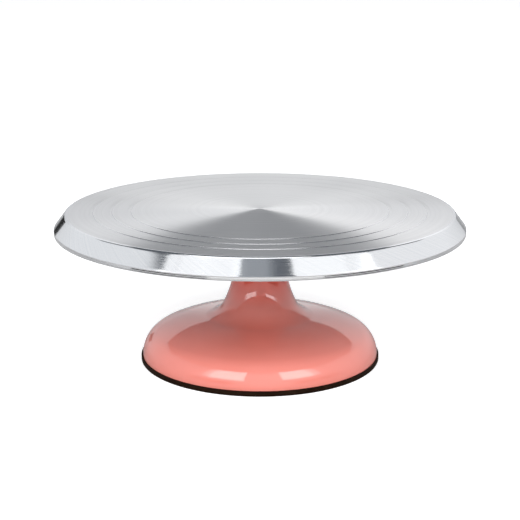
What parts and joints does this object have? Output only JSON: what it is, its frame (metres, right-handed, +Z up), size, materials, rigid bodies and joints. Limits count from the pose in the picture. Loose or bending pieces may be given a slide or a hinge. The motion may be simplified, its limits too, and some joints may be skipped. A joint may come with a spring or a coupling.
{
  "type": "cake turntable",
  "caption": "Round cake-decorating turntable: a flat turned-metal plate with marking rings and a bevelled rim spins on ball bearings in a flared pedestal with a rubber foot ring.",
  "frame": {"origin": "on the spin axis, at the table surface that the foot ring stands on", "axes": "+Z up along the spin axis; +X and +Y are horizontal, with a spindle screw on each of them"},
  "size_m": [0.305, 0.305, 0.115],
  "materials": {
    "turned_aluminium": "lathe-turned top, bright bevel",
    "machined_steel": "turned",
    "bearing_steel": "ground",
    "zinc_steel": "zinc plated",
    "black_oxide_steel": "black oxide",
    "pink_enamel": "glossy baked enamel",
    "brown_rubber": "matt moulded",
    "black_rubber": "matt moulded",
    "nylon": "moulded"
  },
  "bodies": {
    "base": {"base_shell": "pink_enamel", "bearing_housing": "machined_steel", "upper_outer_race": "bearing_steel", "lower_outer_race": "bearing_steel", "upper_bearing_shields": "bearing_steel", "lower_bearing_shields": "bearing_steel", "bearing_circlip": "black_oxide_steel", "dust_seal": "black_rubber", "bottom_plate": "zinc_steel", "bottom_screws": "zinc_steel", "bottom_screw_washers": "zinc_steel", "base_ring": "brown_rubber"},
    "turntable": {"plate": "turned_aluminium", "spindle": "machined_steel", "spindle_screws": "black_oxide_steel", "upper_inner_race": "bearing_steel", "lower_inner_race": "bearing_steel", "bearing_spacer": "machined_steel", "spindle_washer": "zinc_steel", "lock_nut": "zinc_steel", "lock_nut_insert": "nylon"},
    "upper_cage": {"upper_cage": "nylon", "upper_balls": "bearing_steel"},
    "lower_cage": {"lower_cage": "nylon", "lower_balls": "bearing_steel"}
  },
  "joints": [
    {"name": "turntable_spin", "type": "hinge", "parent": "base", "child": "turntable", "pos_m": [0, 0, 0.1], "axis": [0, 0, 1], "continuous": true},
    {"name": "upper_cage_spin", "type": "hinge", "parent": "base", "child": "upper_cage", "pos_m": [0, 0, 0.0925], "axis": [0, 0, 1], "continuous": true},
    {"name": "lower_cage_spin", "type": "hinge", "parent": "base", "child": "lower_cage", "pos_m": [0, 0, 0.0285], "axis": [0, 0, 1], "continuous": true}
  ],
  "couplings": [
    {"joint": "upper_cage_spin", "follows": "turntable_spin", "ratio": 0.3987},
    {"joint": "lower_cage_spin", "follows": "turntable_spin", "ratio": 0.3987}
  ]
}
